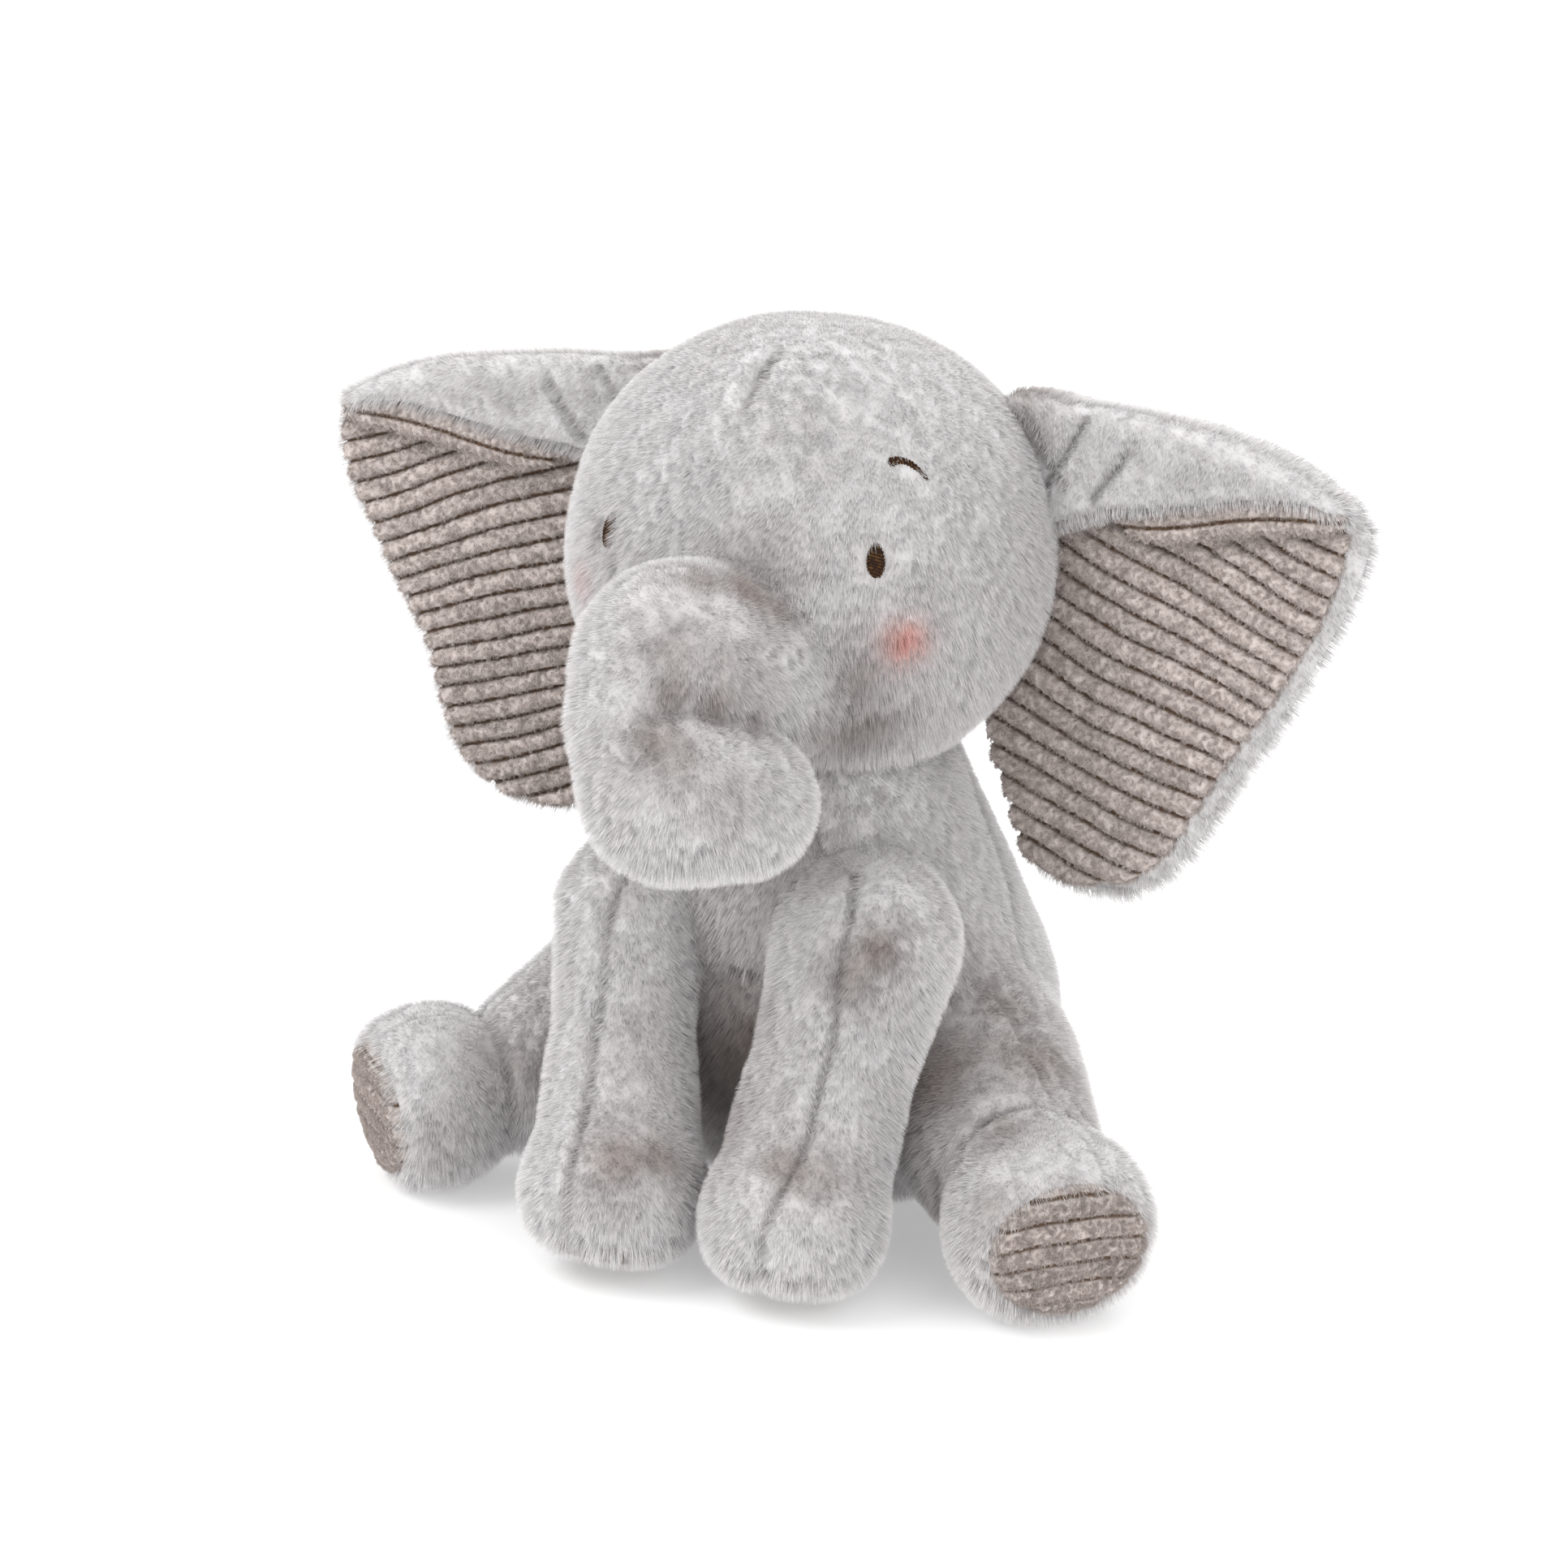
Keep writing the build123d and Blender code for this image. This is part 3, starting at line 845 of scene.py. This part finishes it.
# ---- ears ----------------------------------------------------------------------------------
EAR_AT = PIVOT["ear_left_flap"]
EAR_U, EAR_V, EAR_N = vec(0.986, -0.165, 0), vec(0.021, 0.127, 0.991), vec(-0.163, -0.978, 0.129)
EAR_OUTLINE = [
    (-8, 36), (14, 39), (36, 38.5), (66, 35), (85, 28), (96, 20), (98, 13), (94.5, -4), (84, -28), (71, -50),
    (57, -74), (42, -86), (22, -88), (8, -82), (0, -66), (-8, -48), (-14, 0),
]
FLAP_EDGE = [(-20, -6), (8, 4), (29, 13), (54, 17), (85, 22.5), (100, 24.5)]
EAR_MID, EAR_HALF = -1.6, 4.4           # the padded ear behind its lining
LINING_FRONT = 2.6                      # the valleys of the corduroy
RIB_RISE = 2.0                          # from a valley to the top of a rib


def rounded_loop(points, steps=5):
    """A closed curve through the points, as many short straight runs."""
    points = np.array(points, float)
    before, after, beyond = (np.roll(points, k, 0) for k in (1, -1, -2))
    loop = []
    for t in np.arange(steps) / steps:
        loop.append(0.5 * (
            2 * points + (after - before) * t + (2 * before - 5 * points + 4 * after - beyond) * t ** 2
            + (3 * points - before - 3 * after + beyond) * t ** 3
        ))
    return np.stack(loop, 1).reshape(-1, 2)


def outline_distance(q, loop):
    """Signed distance in a plane to a closed loop, negative inside."""
    best, inside = np.full(len(q), 1e9), np.zeros(len(q), bool)
    for a, b in zip(loop, np.roll(loop, -1, 0)):
        ab, aq = b - a, q - a
        t = np.clip(aq @ ab / (ab @ ab), 0, 1)
        best = np.minimum(best, ((aq - t[:, None] * ab) ** 2).sum(1))
        crosses = (a[1] > q[:, 1]) != (b[1] > q[:, 1])
        x = a[0] + (q[:, 1] - a[1]) * ab[0] / (ab[1] if ab[1] else 1e-9)
        inside ^= crosses & (q[:, 0] < x)
    return np.sqrt(best) * np.where(inside, -1, 1)


EAR_LOOP = rounded_loop(EAR_OUTLINE)
EAR_GRID_LOW, EAR_GRID_STEP = vec(-40, -110), 1.0
grid_u, grid_v = np.arange(-40, 121, EAR_GRID_STEP), np.arange(-110, 61, EAR_GRID_STEP)
EAR_GRID = outline_distance(
    np.stack(np.meshgrid(grid_u, grid_v, indexing="ij"), -1).reshape(-1, 2), EAR_LOOP
).reshape(len(grid_u), len(grid_v))


def ear_edge(q):
    """Distance to the ear's outline, looked up on a grid."""
    g = (q[:, :2] - EAR_GRID_LOW) / EAR_GRID_STEP
    i = np.clip(np.floor(g).astype(int), 0, np.array(EAR_GRID.shape) - 2)
    f = np.clip(g - i, 0, 1)
    a, b = EAR_GRID[i[:, 0], i[:, 1]], EAR_GRID[i[:, 0] + 1, i[:, 1]]
    c, d = EAR_GRID[i[:, 0], i[:, 1] + 1], EAR_GRID[i[:, 0] + 1, i[:, 1] + 1]
    return (a * (1 - f[:, 0]) + b * f[:, 0]) * (1 - f[:, 1]) + (c * (1 - f[:, 0]) + d * f[:, 0]) * f[:, 1]


def to_ear(p, s):
    """Across, up and out of the front of an ear."""
    r = p * vec(s, 1, 1) - EAR_AT
    q = np.stack([r @ EAR_U, r @ EAR_V, r @ EAR_N], -1)
    if s < 0:
        q[:, 0] += 3.0 * fade(-q[:, 1], -10, 20) * (1 - fade(-q[:, 1], 35, 55)) - 5.5 * fade(-q[:, 1], 45, 75)
    q[:, 2] -= 2.4 * np.sin((q[:, 0] - 20) / 32) + 1.6 * np.cos((q[:, 1] + 30) / 24 + s)
    return q


def slab(edge, across, half, rounding):
    """A plate with rounded edges from the distance to its outline and the distance from its middle."""
    return cut(edge, np.abs(across) - half, rounding)


def above_flap_edge(q):
    return np.interp(q[:, 0], *np.array(FLAP_EDGE).T) + 0.8 * np.sin(q[:, 0] / 9) - q[:, 1]


def ear_flap(q):
    """The top of the ear, folded over the front and sagging over the lining."""
    edge = ear_edge(q)
    lower = above_flap_edge(q)
    flap = slab(np.maximum(edge + NAP, lower + 1.0), q[:, 2] - 8.3, 3.0, 4)
    roll = slab(np.maximum(edge + NAP, np.maximum(lower - 2, -edge - 9 + 5 * fade(q[:, 0], 60, 95))),
                q[:, 2] - 3.2, 8.0, 6)
    return join(flap, roll, 4)


def ear_pleats(q):
    """Lines where the ear's root is gathered."""
    lines = []
    for (u1, v1), (u2, v2) in (((20, 35), (6, 12)), ((2, 30), (14, 17)), ((34, 30), (24, 16))):
        a, ab = vec(u1, v1), vec(u2 - u1, v2 - v1)
        t = np.clip((q[:, :2] - a) @ ab / (ab @ ab), 0, 1)
        lines.append(length(q[:, :2] - a - t[:, None] * ab) + 3 * (1 - fade(q[:, 2], 3, 6)))
    return np.minimum.reduce(lines)


def ear_cover_field(s):
    def field(p):
        q = to_ear(p, s)
        body = slab(ear_edge(q) + NAP, q[:, 2] - EAR_MID, EAR_HALF - NAP * 0.6, 7)
        return np.maximum(join(body, ear_flap(q), 2.5), -head_alone(p) - 3.0)
    return field


RIBS = {                                # pitch, fall at the bottom and at the top, waviness
    "left": (6.7, 0.18, 0.40, 1.0),
    "right": (6.0, 0.30, 0.34, 0.8),
}


def rib_phase(q, side):
    """Where a point is across its rib: 0 in the middle, -1 and 1 in the valleys; and which rib."""
    pitch, fall_low, fall_high, wave = RIBS[side]
    fall = fall_low + (fall_high - fall_low) * np.clip((q[:, 1] + 87) / 102, 0, 1.2)
    waves = wave * np.sin(q[:, 0] / 11 + q[:, 1] / 37)
    t = q[:, 1] + fall * q[:, 0] + waves + 0.5 * noise(q * vec(1, 1, 0), 13, 5)
    number = np.floor(t / pitch)
    return 2 * (t / pitch - number) - 1, number


def rib_height(phase):
    return 1 - np.abs(phase) ** 3.2


def ear_lining_field(s, side):
    def field(p):
        q = to_ear(p, s)
        phase = rib_phase(q, side)[0]
        edge = ear_edge(q) + lining_inset(q, side) - 0.6 * rib_height(phase)
        front = q[:, 2] - LINING_FRONT - RIB_RISE * rib_height(phase)
        sheet = cut(cut(edge, front, 1.5), -q[:, 2] - 1.5, 2)
        fade_in = 3.2 * fade(q[:, 0], 24, 44) * (1 - 0.75 * fade(q[:, 0], 84, 97))
        lip_v = -above_flap_edge(q) + 3.2
        lip = length(np.stack([lip_v * 0.8, q[:, 2] - 7.2], -1)) - fade_in - 0.25 * np.cos(q[:, 0] * 3)
        lip = cut(lip, np.maximum(ear_edge(q) + 1.5, 26 - q[:, 0]), 2)
        lip = lip + 0.9 * bump(lip_v + 0.5, 0.6)
        return np.maximum(np.minimum(sheet, lip), -head_alone(p) - 3.0)
    return field


LINING_RIM = {"left": 3.2, "right": 0.8}   # how much plush shows beside the lining's outer edge


def lining_inset(q, side):
    """How far the lining's edge is inside the ear's outline."""
    return 3.4 + LINING_RIM[side] * fade(q[:, 0] - 0.55 * (q[:, 1] + 86), 10, 35)


def pebble_height(p):
    """The loops of the corduroy, in millimetres."""
    return 0.36 * noise(p, 1.2, 33) + 0.2 * noise(p, 0.7, 34)


def corduroy_tint(ridge, number, p):
    """Pebbly ribs with painted shade in the pits between the loops and across each rib, and brown valleys."""
    # Painted shade in the pits between the loops, with tone that differs at random.
    pebble = np.clip(0.66 + 0.9 * pebble_height(p) + 0.12 * noise(p, 3.5, 32), 0, 1)[:, None]
    tint = RIB * pebble + RIB_PIT_SHADE * (1 - pebble)
    # Painted shading across each rib: a painted highlight on its middle and painted shade towards its sides;
    # each rib also differs a little in tone.
    tint = tint * ((1.04 - 0.26 * np.sqrt(1 - ridge)) * (1 + 0.05 * np.sin(number * 2.3)))[:, None]
    valley = (1 - fade(ridge, 0.28, 0.60))[:, None]
    return tint * (1 - valley) + VALLEY * valley


def corduroy_form(field, low, high, phase_of, step):
    """A ribbed cloth: points, quads and how high each point is on its rib, with its rib's number."""
    p, quads, n = shape(field, low, high, step)
    phase, number = phase_of(p)
    ridge = rib_height(phase)
    pebbles = pebble_height(p)
    return p + n * (pebbles * fade(ridge, 0.1, 0.5))[:, None], quads, ridge, number


TERRY_FIBRE = 0.8                       # height of the loops on the corduroy
EAR_LOOPS, SOLE_LOOPS = 14000, 2600     # how many tufts of loops a lining and a sole have


def terry(obj, weights, count, seed):
    """The short loops that stand on the ribs."""
    grow_pile(obj, weights, count, TERRY_FIBRE, (0, 0, -0.3), children=6, thick=0.10, clump=0.2, spread=0.6,
              seed=seed)


# Painted shade on the back of each ear, near its root.
EAR_PAINTED_SHADE = [((50, 25, 216), 10, 0.6)]
for side, s in SIDES.items():
    low = vec(min(s * 30, s * 158), -40, 84)
    high = vec(max(s * 30, s * 158), 52, 228)

    def pleat_line(p, s=s):
        return ear_pleats(to_ear(p, s))

    form = cover_form(ear_cover_field(s), low, high, (pleat_line,), depth=1.6, step=0.9)

    def under_lining(p, s=s, side=side):
        q = to_ear(p, s)
        within = ear_edge(q) + lining_inset(q, side) - 0.8
        on_front = np.maximum(within, np.maximum(0.6 - q[:, 2], q[:, 2] - 4.8))
        return np.minimum(on_front, head_alone(p) + 1.0)

    # The pleat lines are passed as seams too, so their folds get a dark line of painted shade.
    back = cover("ear_cover_" + side, form, under_lining, [(vec(s, 1, 1) * c, r, k) for c, r, k in EAR_PAINTED_SHADE],
                 (pleat_line,), fibre=FIBRE * 0.85, lean=(s * 1.2, 0, -1.0), seed=61 + s)
    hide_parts("ear_back_" + side)

    def phase_of(p, s=s, side=side):
        return rib_phase(to_ear(p, s), side)

    p, quads, ridge, number = corduroy_form(ear_lining_field(s, side), low, high, phase_of, 0.6)
    q = to_ear(p, s)
    on_lip = (q[:, 2] > 5.2) & (np.abs(above_flap_edge(q) - 3.5) < 5)
    ridge = np.where(on_lip, 1 - bump(-above_flap_edge(q) + 3.7, 0.7), ridge)
    front = make_mesh("ear_lining_cloth_" + side, p, quads, corduroy, corduroy_tint(ridge, number, p))
    terry(front, fade(ridge, 0.4, 0.8) * (q[:, 2] > 1), EAR_LOOPS, 71 + s)
    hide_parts("ear_lining_" + side)
    for piece in (back, front):
        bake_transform(piece)

# ---- soles ---------------------------------------------------------------------------------
def to_sole(p, where):
    centre, across, up, normal = where
    r = p - centre
    return np.stack([r @ across, r @ up, r @ normal], -1)


SOLE_PITCH = 5.9                        # from rib to rib


def sole_phase(q, bow):
    t = q[:, 1] + bow * (q[:, 0] / 20) ** 2 + 0.4 * noise(q * vec(1, 1, 0), 9, 6) + 2.0
    number = np.floor(t / SOLE_PITCH)
    return 2 * (t / SOLE_PITCH - number) - 1, number


def sole(name, node, body, where, half_width, half_height, bow, dome):
    def field(p):
        q = to_sole(p, where)
        phase = sole_phase(q, bow)[0]
        share = np.sqrt((q[:, 0] / half_width) ** 2 + (q[:, 1] / half_height) ** 2)
        rim = (share - 1) * min(half_width, half_height)
        top = q[:, 2] - dome * (1 - share ** 2) - 1.1 * rib_height(phase)
        return cut(cut(rim, top, 2.5), -q[:, 2] - 4, 2)

    reach = max(half_width, half_height) + 6
    p, quads, ridge, number = corduroy_form(
        field, where[0] - reach, where[0] + reach, lambda p: sole_phase(to_sole(p, where), bow), 0.5
    )
    obj = make_mesh(name, p, quads, corduroy, corduroy_tint(ridge, number, p))
    terry(obj, fade(ridge, 0.45, 0.85) * (to_sole(p, where)[:, 2] > -0.5), SOLE_LOOPS, 81 + len(name))
    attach(obj, body)
    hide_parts(node)


for side in SIDES:
    for kind, where, half_width, half_height, bow, dome in (
        ("hind", hind_sole_frame(side), 20.5, 17.4, 2.6, 2.6),
        ("front", front_sole_frame(side), 14.0, 12.0, 1.0, 1.4),
    ):
        sole(f"{kind}_leg_sole_cloth_{side}", f"{kind}_leg_sole_{side}", f"{kind}_leg_{side}", where,
             half_width, half_height, bow, dome)

# ---- tail ----------------------------------------------------------------------------------
tail_root = PIVOT["tail_swing"]
tail_end = tail_root + vec(0, 12.4, -30)


def tail_field(p):
    return cone(p, tail_root, tail_end, 5.0 - NAP * 0.6, 4.5 - NAP * 0.6)


form = cover_form(tail_field, (-8, 74, 16), (8, 106, 66), step=0.6)
tail = cover("tail_cover", form, torso_alone, fibre=3.0, seed=91)
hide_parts("tail")
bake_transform(tail)

# ---- embroidery ----------------------------------------------------------------------------
THREAD_HIGHLIGHT = srgb(120, 84, 40)
EYE_HALF_WIDTH, EYE_HALF_HEIGHT = 2.2, 4.6
BROW_THREAD = (1.15, 1.0, 0.82, 0.74, 0.72, 0.68, 0.62, 0.56, 0.45)    # its radius along the brow


def stitched(name, node, field, low, high, run, pitch):
    """Embroidery: a raised patch with threads running square to run, with a gold-brown painted highlight
    along the threads' crests.
    """
    p, quads, n = shape(field, low, high, 0.22)
    lay = np.cos(2 * np.pi * (p @ run) / pitch + 0.8 * noise(p, 1.2, 41))
    p = p + n * (0.16 * lay + 0.10 * noise(p, 0.6, 42))[:, None]
    # Painted highlight: gold-brown on the crest of each thread.
    crest_highlight = (fade(lay + 0.7 * noise(p, 0.9, 43), 0.45, 1.2) * 0.85)[:, None]
    obj = make_mesh(name, p, quads, thread, THREAD * (1 - crest_highlight) + THREAD_HIGHLIGHT * crest_highlight)
    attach(obj, "head")
    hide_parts(node)


def face_axes(at):
    """Up and across the face at a place on it."""
    out = (at - head_centre) / length(at - head_centre)
    up = vec(0, 0, 1) - out * out[2]
    up /= length(up)
    return up, np.cross(up, out)


for side, s in SIDES.items():
    at = EYES[side]
    up, across = face_axes(at)

    def eye_field(p, at=at, up=up, across=across):
        r = p - at
        h = r @ up
        width = EYE_HALF_WIDTH - 0.12 * h
        d = (np.sqrt((r @ across / width) ** 2 + (h / EYE_HALF_HEIGHT) ** 2) - 1) * EYE_HALF_WIDTH
        return cut(d, np.abs(length(p - head_centre) - EYE_RADIUS) - 0.9, 1.0)

    stitched("eye_thread_" + side, "eye_" + side, eye_field, at - 6, at + 6, across * 0.35 + up * 0.94, 0.75)

    middle_at = BROWS[side]
    up, across = face_axes(middle_at)
    across = across * s
    arc = []
    for t in np.linspace(-1, 1, len(BROW_THREAD)):
        lift = 1.9 * (1 - t * t) - 2.6 * t
        d = middle_at + across * t * 4.0 + up * lift - head_centre
        arc.append(head_centre + d / length(d) * BROW_RADIUS[side])

    def brow_field(p, arc=arc):
        runs = zip(arc, arc[1:], BROW_THREAD, BROW_THREAD[1:])
        return np.minimum.reduce([cone(p, a, b, r1, r2) for a, b, r1, r2 in runs])

    stitched("brow_thread_" + side, "brow_" + side, brow_field, middle_at - 8, middle_at + 8, across, 0.7)

# ---- stuffing and pellets ------------------------------------------------------------------
def wad(name, node, body, field, low, high, inset, material=fibrefill, tint=FIBREFILL):
    """A lumpy mass inside the covers."""
    p, quads, n = shape(lambda p: field(p) + inset, low, high, 2.6)
    p = p + n * (0.9 * noise(p, 9, 51) + 0.5 * noise(p, 4, 52))[:, None]
    obj = make_mesh(name, p, quads, material, np.tile(tint, (len(p), 1)))
    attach(obj, body)
    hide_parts(node)
    return obj


bag_at, bag_r, bag_half = (corner("pellet_bag", 0) + corner("pellet_bag", 1)) / 2, 16.5, 7.0


def bag_field(p):
    flat = length((p - bag_at)[:, :2]) - bag_r
    return cut(flat, np.abs(p[:, 2] - bag_at[2]) - bag_half, 8)


def torso_wad(p):
    return np.maximum(np.maximum(torso_alone(p), -legs_alone(p) - 4), -bag_field(p) - 5)


def head_wad(p):
    return np.maximum(head_alone(p), np.maximum(-neck_room(p) - 2, -trunk_alone(p) - 3))


def neck_wad(p):
    return ball(p, (corner("neck_stuffing", 0) + corner("neck_stuffing", 1)) / 2, 19.5)


wad("torso_fibrefill", "torso_stuffing", "torso", torso_wad, (-60, -36, 0), (60, 84, 128), 5)
wad("head_fibrefill", "head_stuffing", "head", head_wad, (-64, -58, 118), (64, 64, 240), 5)
wad("neck_fibrefill", "neck_stuffing", "neck", neck_wad, (-22, -20, 100), (22, 26, 148), 1.5)
wad("trunk_fibrefill", "trunk_stuffing", "trunk", trunk_alone, (-32, -106, 108), (32, -14, 194), 5)
wad("pellet_bag_cloth", "pellet_bag", "torso", bag_field, bag_at - 22, bag_at + 22, 0.5,
    bag_cloth, BAG)
reach = vec(60, 60, 60)
for side in SIDES:
    ankle = front_points(side)[1]
    wad("front_leg_fibrefill_" + side, "front_leg_stuffing_" + side, "front_leg_" + side,
        lambda p, side=side: front_leg_alone(p, side), ankle - reach, ankle + reach, 5)
    ankle = hind_points(side)[1]
    wad("hind_leg_fibrefill_" + side, "hind_leg_stuffing_" + side, "hind_leg_" + side,
        lambda p, side=side: hind_leg_alone(p, side), ankle - reach, ankle + reach, 5)

# ---- light, floor and camera ---------------------------------------------------------------
def lamp(name, at, target, size, power):
    light = bpy.data.lights.new(name, "AREA")
    light.shape = "DISK"
    light.size = size
    light.energy = power
    obj = bpy.data.objects.new(name, light)
    obj.location = at
    obj.rotation_mode = "QUATERNION"
    obj.rotation_quaternion = (Vector(target) - Vector(at)).to_track_quat("-Z", "Y")
    bpy.context.scene.collection.objects.link(obj)


WORLD_STRENGTH = 1.06
FLOOR_SHADE, FLOOR_GLOW = 0.75, 0.32    # the floor glows a little, as on a lit table
middle = (0, 0, 0.12)                   # of the toy, in metres
lamp("key", (-0.9, -0.9, 1.5), middle, 1.0, 14)
lamp("fill", (1.3, -0.9, 0.9), middle, 1.2, 7)
lamp("back", (0.3, 1.3, 1.3), middle, 1.0, 4)

world = bpy.data.worlds.new("studio")
world.use_nodes = True
world.node_tree.nodes["Background"].inputs["Color"].default_value = (1, 1, 1, 1)
world.node_tree.nodes["Background"].inputs["Strength"].default_value = WORLD_STRENGTH
bpy.context.scene.world = world

floor_half = 6.0
floor_mesh = bpy.data.meshes.new("floor")
floor_mesh.from_pydata(
    [(x * floor_half, y * floor_half, 0) for x, y in ((-1, -1), (1, -1), (1, 1), (-1, 1))], [], [(0, 1, 2, 3)]
)
floor_material = bpy.data.materials.new("floor")
floor_material.use_nodes = True
floor_shader = floor_material.node_tree.nodes["Principled BSDF"]
floor_shader.inputs["Base Color"].default_value = (FLOOR_SHADE, FLOOR_SHADE, FLOOR_SHADE, 1)
floor_shader.inputs["Emission Color"].default_value = (1, 1, 1, 1)
floor_shader.inputs["Emission Strength"].default_value = FLOOR_GLOW
floor_shader.inputs["Roughness"].default_value = 0.8
floor_mesh.materials.append(floor_material)
floor = bpy.data.objects.new("floor", floor_mesh)
bpy.context.scene.collection.objects.link(floor)

azimuth, elevation = math.radians(camera_azimuth), math.radians(camera_elevation)
towards = Vector((
    math.sin(azimuth) * math.cos(elevation), -math.cos(azimuth) * math.cos(elevation), math.sin(elevation)
))
camera = bpy.data.objects.new("camera", bpy.data.cameras.new("camera"))
camera.data.lens = camera_lens
camera.data.sensor_width = 36.0
camera.location = camera_target + towards * camera_distance
camera.rotation_mode = "QUATERNION"
camera.rotation_quaternion = (-towards).to_track_quat("-Z", "Y")
bpy.context.scene.collection.objects.link(camera)
bpy.context.scene.camera = camera
bpy.context.scene.view_settings.view_transform = "Standard"
